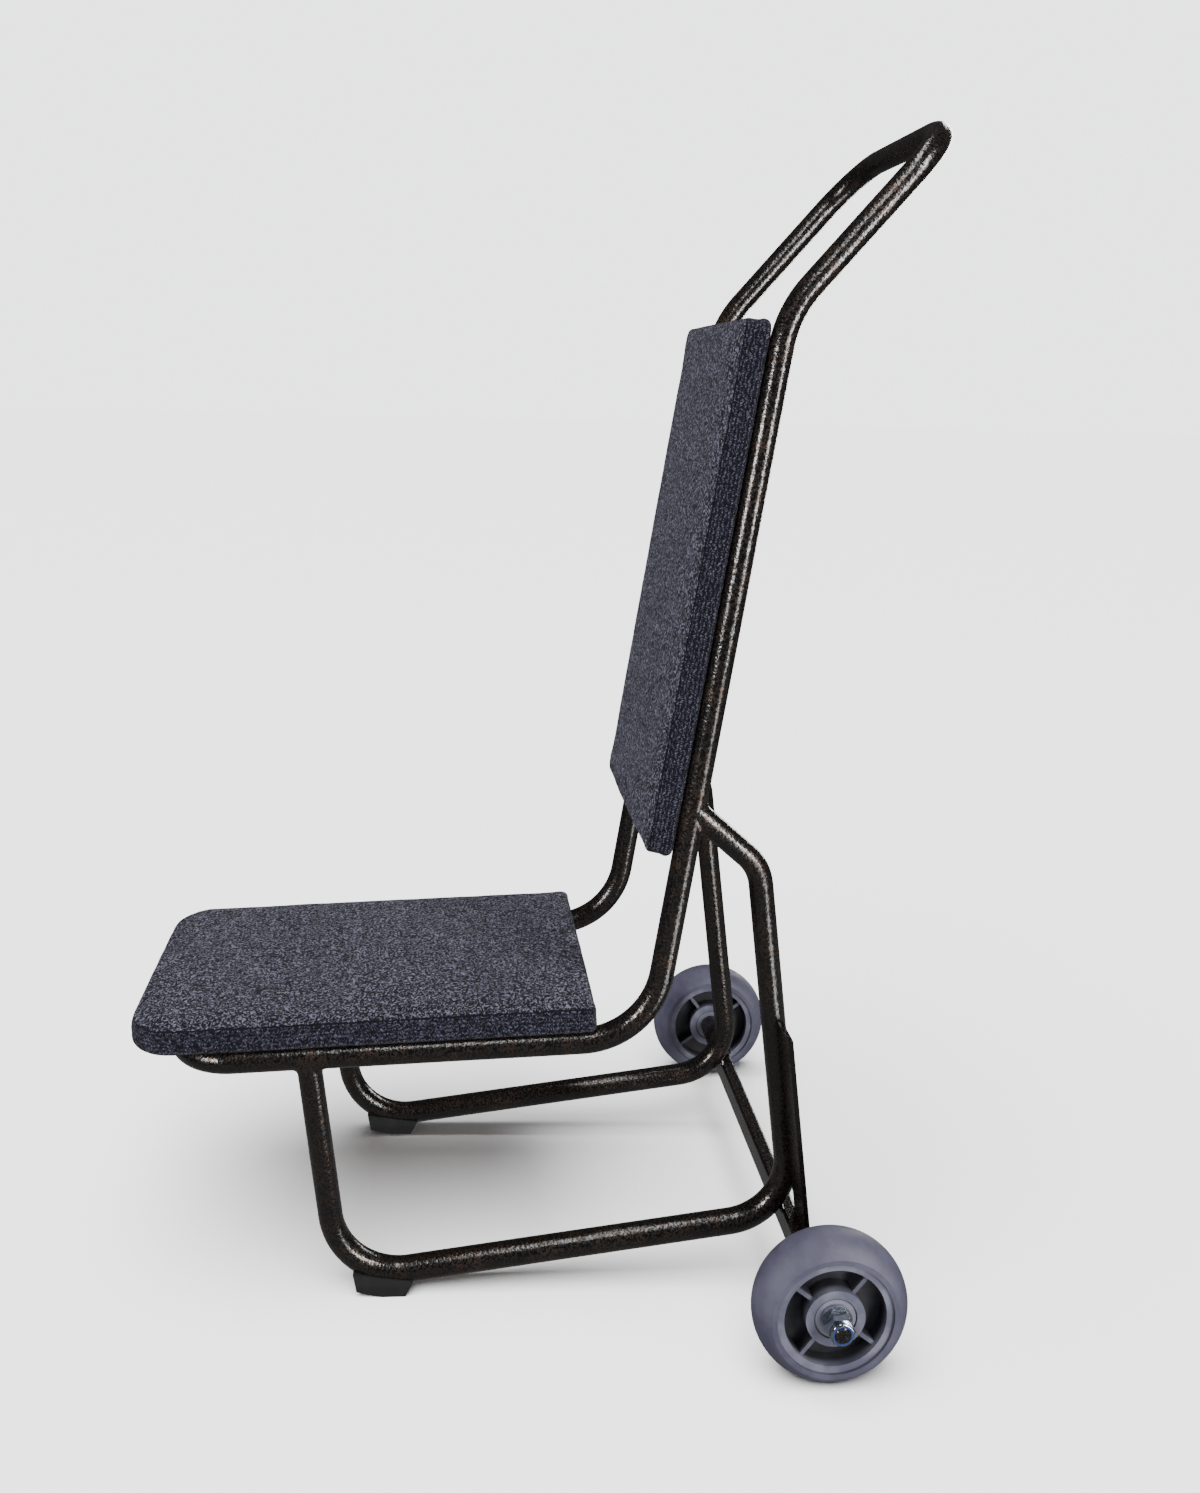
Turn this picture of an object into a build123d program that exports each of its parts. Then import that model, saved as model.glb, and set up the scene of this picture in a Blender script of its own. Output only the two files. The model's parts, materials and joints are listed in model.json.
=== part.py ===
import os
from math import atan2, cos, degrees, radians, sin, sqrt, tan

from build123d import *

# Two-wheeled tilting trolley for stacked chairs: bent steel tube, two carpeted pads, two wheels.
# Millimetres. Z is up, the floor is z = 0, the front is -Y, and the origin is under the middle.

# Tube and welds
tube_od = 25.0
tube_wall = 1.5
weld_gap = 0.1

# The axle lies behind the origin; every other place in the side profile is measured from it
axle_y = 289.4
axle_z = 75.0

# Side profile of the main frame: upright and seat rail meet at the hip, handle arms at the shoulder
hip_y = -158.8
hip_z = 274.5
upright_lean = 8.04
upright_length = 745.9
rail_slope = 2.9
rail_front = 486.0
arm_lean = 40.4
arm_length = 239.0
arm_joint = 25.0
rail_joint = 30.0
hip_joint = 25.0
shoulder_radius = 115.0
hip_radius = 85.0
handle_radius = 62.0
front_radius = 62.0

# Base side frame: front leg, sloping runner, rear leg and the stub that meets the upright
base_front_y = -473.4
base_front_z = 11.1
base_rear_y = -0.7
base_rear_z = 77.1
front_leg_lean = 7.9
rear_leg_length = 384.4
stub_rise = 40.4
front_bend = 72.0
rear_bend = 66.0
stub_bend = 48.0

# Axle beam, side plates and stub axles
beam_height = 25.0
beam_depth = 16.0
beam_wall = 1.5
beam_corner = 3.0
beam_half = 190.0
plate_thick = 5.0
plate_width = 38.0
plate_back = 4.0
plate_top = 222.0
shoulder_dia = 28.0
spindle_dia = 16.0
spindle_chamfer = 1.2

# Wheel
wheel_half = 259.0
wheel_dia = 150.0
tread_width = 44.0
tread_edge = 5.0
rim_width = 39.0
rim_outer = 112.0
rim_inner = 98.0
hub_dia = 57.0
hub_width = 40.0
web_thick = 6.0
rib_count = 4
rib_thick = 4.0
rib_turn = 53.0
rib_inset = 4.0
bush_dia = 40.0
bush_lip = 0.8
run_gap = 0.05
side_gap = 0.3

# Axle nut and washer
washer_dia = 30.0
washer_thick = 3.0
washer_gap = 0.5
nut_flats = 24.0
nut_hex = 13.0
nut_collar_dia = 22.5
nut_collar = 4.0
insert_dia = 19.0
insert_thick = 3.0
thread_gap = 0.05
spindle_end = 1.0

# Pads: a plywood board wrapped in foam and carpet
pad_thick = 27.0
pad_crown = 3.0
pad_edge = 6.0
pad_under = 4.0
pad_gap = 0.2
carpet_wall = 5.0
board_thick = 9.0
board_gap = 0.3
seat_width = 292.0
seat_overhang = 11.0
seat_back_end = 53.0
seat_length = 479.0
seat_front_corner = 50.0
seat_rear_corner = 10.0
back_width = 280.0
back_bottom = 191.0
back_height = 546.0
back_corner = 14.0

# Flat straps welded between the tubes, and the screws that hold the pads to them
strap_width = 30.0
strap_thick = 4.0
screw_half = 85.0
screw_dia = 6.0
screw_head_dia = 12.0
screw_head = 4.0
screw_bite = 7.0
screw_gap = 0.3
seat_straps_at = (130.0, 390.0)
back_straps_at = (270.0, 660.0)

# Rubber feet under the front bends
foot_width = 28.0
foot_rear_y = -405.0
foot_front_y = -455.0
foot_flat = 24.0
foot_lift = 6.0
foot_rear_top = 16.0
foot_front_top = 25.0
foot_flare = 8.0
foot_screw_dia = 5.0
foot_screw_head_dia = 9.5
foot_screw_head = 3.0
foot_screw_recess = 4.0

tube_r = tube_od / 2
bore_r = tube_r - tube_wall
# The tubes run under the edges of the seat pad
frame_half = seat_width / 2 - seat_overhang
# Left and right as seen by the person at the handle
sides = (("left", 1), ("right", -1))


def heading(angle):
    # Unit vector in the side plane, measured from +Y (rear) towards +Z (up)
    return Vector(0, cos(radians(angle)), sin(radians(angle)))


up_dir = heading(90 - upright_lean)
arm_dir = heading(90 - arm_lean)
rail_dir = heading(180 + rail_slope)
hip = Vector(0, axle_y + hip_y, hip_z)
shoulder = hip + up_dir * upright_length
grip = shoulder + arm_dir * arm_length
hip_tangent = hip_radius * tan(radians((90 + upright_lean - rail_slope) / 2))
shoulder_tangent = shoulder_radius * tan(radians((arm_lean - upright_lean) / 2))
arm_start = shoulder + arm_dir * (shoulder_tangent + arm_joint)
rail_end = hip + rail_dir * (rail_front - front_radius - rail_joint)
upright_start = hip + up_dir * (hip_tangent + hip_joint)
rail_tip = hip + rail_dir * rail_front

runner_rise = degrees(atan2(base_rear_z - base_front_z, base_rear_y - base_front_y))
runner_dir = heading(runner_rise)
rear_leg_dir = heading(90 + runner_rise)
front_leg_dir = heading(90 + front_leg_lean)
stub_dir = heading(180 - stub_rise)
base_front = Vector(0, axle_y + base_front_y, base_front_z)
base_rear = Vector(0, axle_y + base_rear_y, base_rear_z)
base_top = base_rear + rear_leg_dir * rear_leg_length


def meet(start, along, other, other_dir):
    # Where a side-plane line from start meets the line through other
    gap = other - start
    turn = along.Y * other_dir.Z - along.Z * other_dir.Y
    return start + along * ((gap.Y * other_dir.Z - gap.Z * other_dir.Y) / turn)


leg_foot = meet(base_front, front_leg_dir, hip, rail_dir)
stub_foot = meet(base_top, stub_dir, hip, up_dir)

# The beam's rounded front edge rests against the outside of both rear bends
bend_centre = base_rear - runner_dir * rear_bend + rear_leg_dir * rear_bend
edge_z = axle_z + beam_height / 2 - beam_corner
edge_reach = rear_bend + tube_r + weld_gap + beam_corner
edge_y = bend_centre.Y + sqrt(edge_reach ** 2 - (edge_z - bend_centre.Z) ** 2)
beam_y = edge_y - beam_corner + beam_depth / 2

seat_plane = Plane(origin=hip, x_dir=(1, 0, 0), z_dir=heading(90 + rail_slope))
back_plane = Plane(origin=hip, x_dir=(1, 0, 0), z_dir=heading(180 - upright_lean))

hub_in = wheel_half - hub_width / 2
hub_out = wheel_half + hub_width / 2
washer_at = hub_out + side_gap
nut_at = washer_at + washer_thick
spindle_tip = nut_at + nut_hex + nut_collar + spindle_end


def at_x(point, x):
    return Vector(x, point.Y, point.Z)


def tube_along(points, radii, radius, bore=0.0, mode=Mode.ADD):
    # Sweep a round section along straight runs joined by tangent arcs
    with BuildLine() as route:
        FilletPolyline(*points, radius=radii)
    with BuildSketch(Plane(points[0], z_dir=points[1] - points[0])) as section:
        Circle(radius)
        if bore:
            Circle(bore, mode=Mode.SUBTRACT)
    sweep(sections=section.sketch, path=route.line, mode=mode)


def keep(part, name):
    part.label = name
    export_step(part, f"parts/{name}.step")


os.makedirs("parts", exist_ok=True)

# Handle: one U of tube, bent across the top
with BuildPart() as handle:
    corners = [at_x(arm_start, frame_half), at_x(grip, frame_half)]
    corners += [at_x(grip, -frame_half), at_x(arm_start, -frame_half)]
    tube_along(corners, [handle_radius, handle_radius], tube_r, bore_r)
keep(handle.part, "handle")

# Front of the seat frame: a U lying in the plane of the rails
with BuildPart() as seat_front_bar:
    corners = [at_x(rail_end, frame_half), at_x(rail_tip, frame_half)]
    corners += [at_x(rail_tip, -frame_half), at_x(rail_end, -frame_half)]
    tube_along(corners, [front_radius, front_radius], tube_r, bore_r)
keep(seat_front_bar.part, "seat_front_bar")

for side, sign in sides:
    x = sign * frame_half

    # Upright with its shoulder bend
    with BuildPart() as upright:
        route = [at_x(upright_start, x), at_x(shoulder, x), at_x(arm_start, x)]
        tube_along(route, [shoulder_radius], tube_r, bore_r)
    keep(upright.part, f"{side}_upright")

    # Seat rail with the hip bend
    with BuildPart() as seat_rail:
        route = [at_x(upright_start, x), at_x(hip, x), at_x(rail_end, x)]
        tube_along(route, [hip_radius], tube_r, bore_r)
    keep(seat_rail.part, f"{side}_seat_rail")

    # Base side frame: one bent tube, coped to the rail and to the upright
    base_route = [at_x(point, x) for point in (leg_foot, base_front, base_rear, base_top, stub_foot)]
    base_bends = [front_bend, rear_bend, stub_bend]
    foot_screw_at = Plane((x, axle_y + foot_rear_y - foot_flat / 2, 0))
    with BuildPart() as base_frame:
        tube_along(base_route, base_bends, tube_r, bore_r)
        with Locations(Plane(at_x(leg_foot, x), z_dir=rail_dir).location):
            Cylinder(tube_r + weld_gap, 4 * tube_od, mode=Mode.SUBTRACT)
        with Locations(Plane(at_x(stub_foot, x), z_dir=up_dir).location):
            Cylinder(tube_r + weld_gap, 4 * tube_od, mode=Mode.SUBTRACT)
        with Locations(foot_screw_at.location):
            Cylinder(foot_screw_dia / 2 + screw_gap, 2 * foot_rear_top, mode=Mode.SUBTRACT)
    keep(base_frame.part, f"{side}_base_frame")

    # Rubber foot: a wedge that fits the underside of the front bend
    with BuildPart() as foot:
        with BuildSketch(Plane((x, axle_y, 0), x_dir=(0, 1, 0), z_dir=(1, 0, 0))):
            with BuildLine():
                Polyline(
                    (foot_rear_y, 0),
                    (foot_rear_y + foot_flare, foot_rear_top),
                    (foot_front_y - foot_flare / 2, foot_front_top),
                    (foot_front_y, foot_lift),
                    (foot_rear_y - foot_flat, 0),
                    close=True,
                )
            make_face()
        extrude(amount=foot_width / 2, both=True)
        tube_along(base_route, base_bends, tube_r + weld_gap, mode=Mode.SUBTRACT)
        with Locations(foot_screw_at.location):
            Cylinder(foot_screw_dia / 2 + screw_gap, 2 * foot_rear_top, mode=Mode.SUBTRACT)
        with Locations(foot_screw_at.location):
            Cylinder(foot_screw_head_dia / 2 + screw_gap, 2 * foot_screw_recess, mode=Mode.SUBTRACT)
    keep(foot.part, f"{side}_foot")

    # Side plate: flat bar beside the rear leg, standing on the beam
    with BuildPart() as side_plate:
        inner = frame_half + tube_r + weld_gap
        with BuildSketch(Plane(at_x(base_rear, 0), x_dir=(1, 0, 0), z_dir=rear_leg_dir)):
            with Locations((sign * (inner + plate_width / 2), plate_back)):
                Rectangle(plate_width, plate_thick)
        extrude(amount=plate_top)
        split(bisect_by=Plane.XY.offset(axle_z + beam_height / 2 + weld_gap), keep=Keep.TOP)
    keep(side_plate.part, f"{side}_side_plate")

    # Stub axle: shoulder against the beam's end, spindle through the wheel
    axle_plane = Plane((0, axle_y, axle_z), x_dir=(0, 1, 0), z_dir=(sign, 0, 0))
    outward = Axis((0, axle_y, axle_z), (sign, 0, 0))
    with BuildPart() as stub_axle:
        with BuildSketch(axle_plane.offset(beam_half)):
            Circle(shoulder_dia / 2)
        extrude(amount=hub_in - side_gap - beam_half)
        with BuildSketch(axle_plane.offset(hub_in - side_gap)):
            Circle(spindle_dia / 2)
        extrude(amount=spindle_tip - hub_in + side_gap)
        chamfer(stub_axle.edges().sort_by(outward)[-1], spindle_chamfer)
    keep(stub_axle.part, f"{side}_stub_axle")

    # Wheel core: hub, web and rim in one turned profile, with ribs on both faces
    wheel_plane = Plane((sign * wheel_half, axle_y, axle_z), x_dir=(1, 0, 0), z_dir=(0, -1, 0))
    with BuildPart() as wheel_core:
        with BuildSketch(wheel_plane):
            with Locations((0, (bush_dia + hub_dia) / 4)):
                Rectangle(hub_width, (hub_dia - bush_dia) / 2)
            with Locations((0, (hub_dia + rim_inner) / 4)):
                Rectangle(web_thick, (rim_inner - hub_dia) / 2)
            with Locations((0, (rim_inner + rim_outer) / 4)):
                Rectangle(rim_width, (rim_outer - rim_inner) / 2)
        revolve(axis=outward)
        rib_depth = rim_width / 2 - rib_inset
        with Locations(axle_plane.offset(wheel_half).location * Rot(0, 0, rib_turn)):
            with PolarLocations((hub_dia + rim_inner) / 4, rib_count):
                Box((rim_inner - hub_dia) / 2 + rib_thick, rib_thick, 2 * rib_depth)
    keep(wheel_core.part, f"{side}_wheel_core")

    # Tread: crowned ring moulded over the rim
    with BuildPart() as wheel_tread:
        with BuildSketch(wheel_plane):
            half = tread_width / 2
            with BuildLine():
                Line((-half, rim_outer / 2 + tread_edge), (-half, rim_outer / 2))
                Line((-half, rim_outer / 2), (half, rim_outer / 2))
                Line((half, rim_outer / 2), (half, rim_outer / 2 + tread_edge))
                ThreePointArc(
                    (half, rim_outer / 2 + tread_edge),
                    (0, wheel_dia / 2),
                    (-half, rim_outer / 2 + tread_edge),
                )
            make_face()
        revolve(axis=outward)
    keep(wheel_tread.part, f"{side}_wheel_tread")

    # Plain bearing bush pressed into the hub
    with BuildPart() as wheel_bush:
        with BuildSketch(axle_plane.offset(hub_in + bush_lip)):
            Circle(bush_dia / 2)
            Circle(spindle_dia / 2 + run_gap, mode=Mode.SUBTRACT)
        extrude(amount=hub_width - 2 * bush_lip)
    keep(wheel_bush.part, f"{side}_wheel_bush")

    # Washer, locking nut and its nylon ring
    with BuildPart() as axle_washer:
        with BuildSketch(axle_plane.offset(washer_at)):
            Circle(washer_dia / 2)
            Circle(spindle_dia / 2 + washer_gap, mode=Mode.SUBTRACT)
        extrude(amount=washer_thick)
    keep(axle_washer.part, f"{side}_axle_washer")

    with BuildPart() as axle_nut:
        with BuildSketch(axle_plane.offset(nut_at)):
            RegularPolygon(nut_flats / 2, 6, major_radius=False)
        extrude(amount=nut_hex)
        with BuildSketch(axle_plane.offset(nut_at + nut_hex)):
            Circle(nut_collar_dia / 2)
        extrude(amount=nut_collar)
        fillet(axle_nut.edges().sort_by(outward)[-1], nut_collar / 3)
        with BuildSketch(axle_plane.offset(nut_at)):
            Circle(spindle_dia / 2 + thread_gap)
        extrude(amount=nut_hex + nut_collar, mode=Mode.SUBTRACT)
        with BuildSketch(axle_plane.offset(nut_at + nut_hex + nut_collar - insert_thick)):
            Circle(insert_dia / 2)
        extrude(amount=insert_thick, mode=Mode.SUBTRACT)
    keep(axle_nut.part, f"{side}_axle_nut")

    with BuildPart() as nut_insert:
        with BuildSketch(axle_plane.offset(nut_at + nut_hex + nut_collar - insert_thick)):
            Circle(insert_dia / 2)
            Circle(spindle_dia / 2 + thread_gap, mode=Mode.SUBTRACT)
        extrude(amount=insert_thick)
    keep(nut_insert.part, f"{side}_nut_insert")

# Axle beam: rectangular tube across the back of both base frames
with BuildPart() as axle_beam:
    with BuildSketch(Plane((-beam_half, beam_y, axle_z), x_dir=(0, 1, 0), z_dir=(1, 0, 0))):
        RectangleRounded(beam_depth, beam_height, beam_corner)
        RectangleRounded(
            beam_depth - 2 * beam_wall,
            beam_height - 2 * beam_wall,
            beam_corner - beam_wall,
            mode=Mode.SUBTRACT,
        )
    extrude(amount=2 * beam_half)
keep(axle_beam.part, "axle_beam")

# Screws that hold both feet, sunk in the rubber
with BuildPart() as foot_screws:
    for side, sign in sides:
        seat = Plane((sign * frame_half, axle_y + foot_rear_y - foot_flat / 2, foot_screw_recess))
        with BuildSketch(seat):
            Circle(foot_screw_dia / 2)
        extrude(amount=foot_rear_top)
        with BuildSketch(seat):
            Circle(foot_screw_head_dia / 2)
        extrude(amount=-foot_screw_head)
keep(foot_screws.part, "foot_screws")


def pad_outline(width, length, middle, far_corner, near_corner, inset=0.0):
    # Rounded rectangle in the pad's plane, drawn in by an inset on every side
    with Locations((0, middle)):
        Rectangle(width - 2 * inset, length - 2 * inset)
    fillet(vertices().group_by(Axis.Y)[-1], far_corner - inset)
    fillet(vertices().group_by(Axis.Y)[0], near_corner - inset)


def clear_of_rails():
    # Hollow the underside where the hip bends start to rise
    for _, sign in sides:
        route = [at_x(point, sign * frame_half) for point in (upright_start, hip, rail_end)]
        tube_along(route, [hip_radius], tube_r + pad_gap, mode=Mode.SUBTRACT)


# A strap's lower edges meet the tubes' round flanks
strap_half = frame_half - sqrt(tube_r ** 2 - (tube_r - strap_thick) ** 2) - weld_gap

pads = (
    ("seat", seat_plane, seat_width, seat_length, -seat_back_end - seat_length / 2,
     seat_rear_corner, seat_front_corner, [-reach for reach in seat_straps_at]),
    ("back", back_plane, back_width, back_height, back_bottom + back_height / 2,
     back_corner, back_corner, back_straps_at),
)

for name, plane, width, length, middle, far_corner, near_corner, strap_rows in pads:
    # Each pad lies on its tubes; the plane's Z points away from them
    underside = plane.offset(tube_r + pad_gap)
    screw_places = [(sign * screw_half, row) for _, sign in sides for row in strap_rows]
    strap_under = plane.offset(tube_r - strap_thick)

    with BuildPart() as board:
        with BuildSketch(underside):
            pad_outline(width, length, middle, far_corner, near_corner, carpet_wall)
            with Locations(*screw_places):
                Circle(screw_dia / 2 + thread_gap, mode=Mode.SUBTRACT)
        extrude(amount=board_thick)
        clear_of_rails()
    keep(board.part, f"{name}_board")

    # Foam and carpet over the board: crowned across, with rounded edges
    with BuildPart() as pad:
        with BuildSketch(underside):
            pad_outline(width, length, middle, far_corner, near_corner)
        extrude(amount=pad_thick + pad_crown)
        top_face = pad.faces().sort_by(Axis(underside.origin, underside.z_dir))[-1]
        fillet(top_face.edges(), pad_edge + pad_crown)
        under_face = pad.faces().sort_by(Axis(underside.origin, underside.z_dir))[0]
        fillet(under_face.edges(), pad_under)
        end_plane = Plane(
            underside.from_local_coords((0, middle - length / 2, 0)),
            x_dir=underside.x_dir,
            z_dir=-underside.y_dir,
        )
        with BuildSketch(end_plane):
            with BuildLine():
                Polyline((-width / 2, pad_thick), (-width / 2, 0), (width / 2, 0), (width / 2, pad_thick))
                ThreePointArc(
                    (width / 2, pad_thick), (0, pad_thick + pad_crown), (-width / 2, pad_thick)
                )
            make_face()
        extrude(amount=-length, mode=Mode.INTERSECT)
        with BuildSketch(underside):
            pad_outline(width, length, middle, far_corner, near_corner, carpet_wall - board_gap)
        extrude(amount=board_thick + board_gap, mode=Mode.SUBTRACT)
        clear_of_rails()
    keep(pad.part, f"{name}_pad")

    # Two flat straps between the tubes carry the board
    with BuildPart() as straps:
        with BuildSketch(strap_under):
            with Locations(*[(0, row) for row in strap_rows]):
                Rectangle(2 * strap_half, strap_width)
            with Locations(*screw_places):
                Circle(screw_dia / 2 + screw_gap, mode=Mode.SUBTRACT)
        extrude(amount=strap_thick)
    keep(straps.part, f"{name}_straps")

    # Pan-head screws through the straps into the board
    with BuildPart() as pad_screws:
        with BuildSketch(strap_under):
            with Locations(*screw_places):
                Circle(screw_dia / 2)
        extrude(amount=strap_thick + pad_gap + screw_bite)
        with BuildSketch(strap_under):
            with Locations(*screw_places):
                Circle(screw_head_dia / 2)
        extrude(amount=-screw_head)
        fillet(pad_screws.faces().group_by(Axis(plane.origin, plane.z_dir))[0].edges(), screw_head / 2)
    keep(pad_screws.part, f"{name}_screws")
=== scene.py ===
import json
import math

import bmesh
import bpy
from mathutils import Matrix, Vector, noise
from mathutils.kdtree import KDTree


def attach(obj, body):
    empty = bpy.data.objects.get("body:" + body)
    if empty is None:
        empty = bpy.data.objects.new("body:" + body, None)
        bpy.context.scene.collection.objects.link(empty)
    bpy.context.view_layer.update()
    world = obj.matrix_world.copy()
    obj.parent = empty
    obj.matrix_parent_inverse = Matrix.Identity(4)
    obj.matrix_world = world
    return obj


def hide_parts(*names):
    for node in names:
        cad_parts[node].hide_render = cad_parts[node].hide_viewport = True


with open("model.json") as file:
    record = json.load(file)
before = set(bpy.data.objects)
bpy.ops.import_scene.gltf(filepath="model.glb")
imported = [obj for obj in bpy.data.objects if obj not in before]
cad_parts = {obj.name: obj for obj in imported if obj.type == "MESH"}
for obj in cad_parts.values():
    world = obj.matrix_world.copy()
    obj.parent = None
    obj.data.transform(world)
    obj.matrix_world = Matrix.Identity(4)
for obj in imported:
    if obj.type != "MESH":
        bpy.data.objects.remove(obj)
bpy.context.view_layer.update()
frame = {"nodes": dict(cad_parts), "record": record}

mm = 0.001
print("frame loaded with", len(frame["nodes"]), "nodes")

# The frame's side profile: y and z of the tubes' centre lines, angles in degrees
profile = {
    "tubeRadius": 12.5 * mm, "frameHalf": 135 * mm,
    "hip": (130.6 * mm, 274.5 * mm), "uprightLean": 8.04, "railSlope": 2.9, "hipRadius": 85 * mm,
    "baseFront": (-184.0 * mm, 11.1 * mm), "baseRear": (288.7 * mm, 77.1 * mm),
    "frontLegLean": 7.9, "rearLegLength": 384.4 * mm, "stubRise": 40.4,
}


def heading(angle):
    # direction in the side plane, from +Y towards +Z
    return Vector((0, math.cos(math.radians(angle)), math.sin(math.radians(angle))))


def sidePoint(pair):
    return Vector((0, pair[0], pair[1]))


def meet(start, along, other, otherDir):
    # where two lines of the side plane cross
    gap = other - start
    turn = along.y * otherDir.z - along.z * otherDir.y
    return start + along * ((gap.y * otherDir.z - gap.z * otherDir.y) / turn)


upDir = heading(90 - profile["uprightLean"])
railDir = heading(180 + profile["railSlope"])
hip = sidePoint(profile["hip"])
baseFront = sidePoint(profile["baseFront"])
baseRear = sidePoint(profile["baseRear"])
runner = baseRear - baseFront
runnerRise = math.degrees(math.atan2(runner.z, runner.y))
rearLegDir = heading(90 + runnerRise)
frontLegDir = heading(90 + profile["frontLegLean"])
stubDir = heading(180 - profile["stubRise"])
baseTop = baseRear + rearLegDir * profile["rearLegLength"]
legFoot = meet(baseFront, frontLegDir, hip, railDir)
stubFoot = meet(baseTop, stubDir, hip, upDir)


class Value:
    # a shader socket that takes part in sums
    def __init__(self, finish, socket):
        self.finish = finish
        self.socket = socket

    def maths(self, operation, first, second):
        return self.finish.add("ShaderNodeMath", {"operation": operation}, {0: first, 1: second})

    def __add__(self, other):
        return self.maths("ADD", self, other)

    def __radd__(self, other):
        return self.maths("ADD", other, self)

    def __sub__(self, other):
        return self.maths("SUBTRACT", self, other)

    def __rsub__(self, other):
        return self.maths("SUBTRACT", other, self)

    def __mul__(self, other):
        return self.maths("MULTIPLY", self, other)

    def __rmul__(self, other):
        return self.maths("MULTIPLY", other, self)

    def __truediv__(self, other):
        return self.maths("DIVIDE", self, other)

    def __rtruediv__(self, other):
        return self.maths("DIVIDE", other, self)


class Finish:
    # a material or a world, and the nodes that it is made of
    def __init__(self, owner):
        owner.use_nodes = True
        owner.node_tree.nodes.clear()
        self.owner = owner
        self.tree = owner.node_tree

    def add(self, kind, settings=None, sockets=None, output=0):
        node = self.tree.nodes.new(kind)
        for key, value in (settings or {}).items():
            setattr(node, key, value)
        for key, value in (sockets or {}).items():
            if isinstance(value, Value):
                self.tree.links.new(value.socket, node.inputs[key])
            else:
                node.inputs[key].default_value = value
        return Value(self, node.outputs[output]) if len(node.outputs) else node

    def place(self):
        return self.add("ShaderNodeTexCoord", output="Object")

    def attribute(self, name):
        return self.add("ShaderNodeAttribute", {"attribute_name": name}, None, "Fac")

    def noise(self, where, scale, detail=2.0, roughness=0.5, output="Fac"):
        sockets = {"Vector": where, "Scale": scale, "Detail": detail, "Roughness": roughness}
        return self.add("ShaderNodeTexNoise", None, sockets, output)

    def cells(self, where, scale, output="Distance", feature="F1"):
        sockets = {"Vector": where, "Scale": scale}
        return self.add("ShaderNodeTexVoronoi", {"feature": feature}, sockets, output)

    def smooth(self, amount, low, high):
        settings = {"interpolation_type": "SMOOTHSTEP"}
        sockets = {"Value": amount, "From Min": low, "From Max": high}
        return self.add("ShaderNodeMapRange", settings, sockets, "Result")

    def wave(self, amount):
        # from 0 to 1 and back once for each whole step of the amount
        turn = self.add("ShaderNodeMath", {"operation": "COSINE"}, {0: amount * (2 * math.pi)})
        return 0.5 - turn * 0.5

    def stray(self, where, scale, reach):
        drift = self.noise(where, scale, output="Color")
        shift = self.add("ShaderNodeVectorMath", {"operation": "SCALE"}, {0: drift, "Scale": reach})
        return self.add("ShaderNodeVectorMath", {"operation": "ADD"}, {0: where, 1: shift})

    def distance(self, amount, level):
        return self.add("ShaderNodeMath", {"operation": "ABSOLUTE"}, {0: amount - level})

    def axis(self, where, name):
        return self.add("ShaderNodeSeparateXYZ", None, {"Vector": where}, name)

    def blend(self, amount, first, second):
        tones = [tone if isinstance(tone, Value) else (*tone, 1) for tone in (first, second)]
        sockets = {0: amount, 6: tones[0], 7: tones[1]}
        return self.add("ShaderNodeMix", {"data_type": "RGBA"}, sockets, 2)

    def bump(self, height, depth, strength=1.0):
        sockets = {"Height": height, "Distance": depth, "Strength": strength}
        return self.add("ShaderNodeBump", None, sockets, "Normal")

    def surface(self, sockets):
        full = {key: (*value, 1) if isinstance(value, tuple) else value for key, value in sockets.items()}
        shader = self.add("ShaderNodeBsdfPrincipled", None, full, "BSDF")
        self.add("ShaderNodeOutputMaterial", None, {"Surface": shader})
        return self.owner


# In the dictionaries below a noise is given as scale, detail and roughness, a stray as scale and reach,
# and an edge as the two levels between which one look gives way to the next
hammertone = {
    "black": (0.0016, 0.0015, 0.0017), "bronze": (0.034, 0.0265, 0.0225), "copper": (0.056, 0.0375, 0.027),
    "spots": (430, 2.0, 0.5), "spotStray": (260, 1.6 * mm), "drift": (45, 2), "patchy": 0.10,
    "flakeEdge": (0.47, 0.63), "copperEdge": (0.45, 0.70), "flakeMetal": 0.88,
    "grain": (1600, 2), "gloss": 0.15, "grainRough": 0.06, "flakeRough": 0.14, "specular": 0.6,
    "dents": 340, "dentBump": 0.75, "spotBump": 0.55, "grainBump": 0.10, "depth": 0.5 * mm, "strength": 0.7,
}


def hammertonePaint():
    # glossy black spots floating in a bronze flake ground, dimpled all over
    paint = Finish(bpy.data.materials.new("hammertonePaint"))
    where = paint.place()
    spots = paint.noise(paint.stray(where, *hammertone["spotStray"]), *hammertone["spots"])
    drift = paint.noise(where, *hammertone["drift"])
    grain = paint.noise(where, *hammertone["grain"])
    ground = paint.smooth(spots + (drift - 0.5) * hammertone["patchy"], *hammertone["flakeEdge"])
    coppery = paint.smooth(drift, *hammertone["copperEdge"])
    metal = paint.blend(coppery, hammertone["bronze"], hammertone["copper"])
    dents = paint.cells(where, hammertone["dents"], "Distance", "SMOOTH_F1")
    dimples = dents * hammertone["dentBump"] + spots * hammertone["spotBump"]
    height = dimples + grain * hammertone["grainBump"]
    dull = grain * hammertone["grainRough"]
    return paint.surface({
        "Base Color": paint.blend(ground, hammertone["black"], metal),
        "Metallic": ground * hammertone["flakeMetal"],
        "Roughness": hammertone["gloss"] + dull + ground * hammertone["flakeRough"],
        "Specular IOR Level": hammertone["specular"],
        "Normal": paint.bump(height, hammertone["depth"], hammertone["strength"]),
    })


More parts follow.
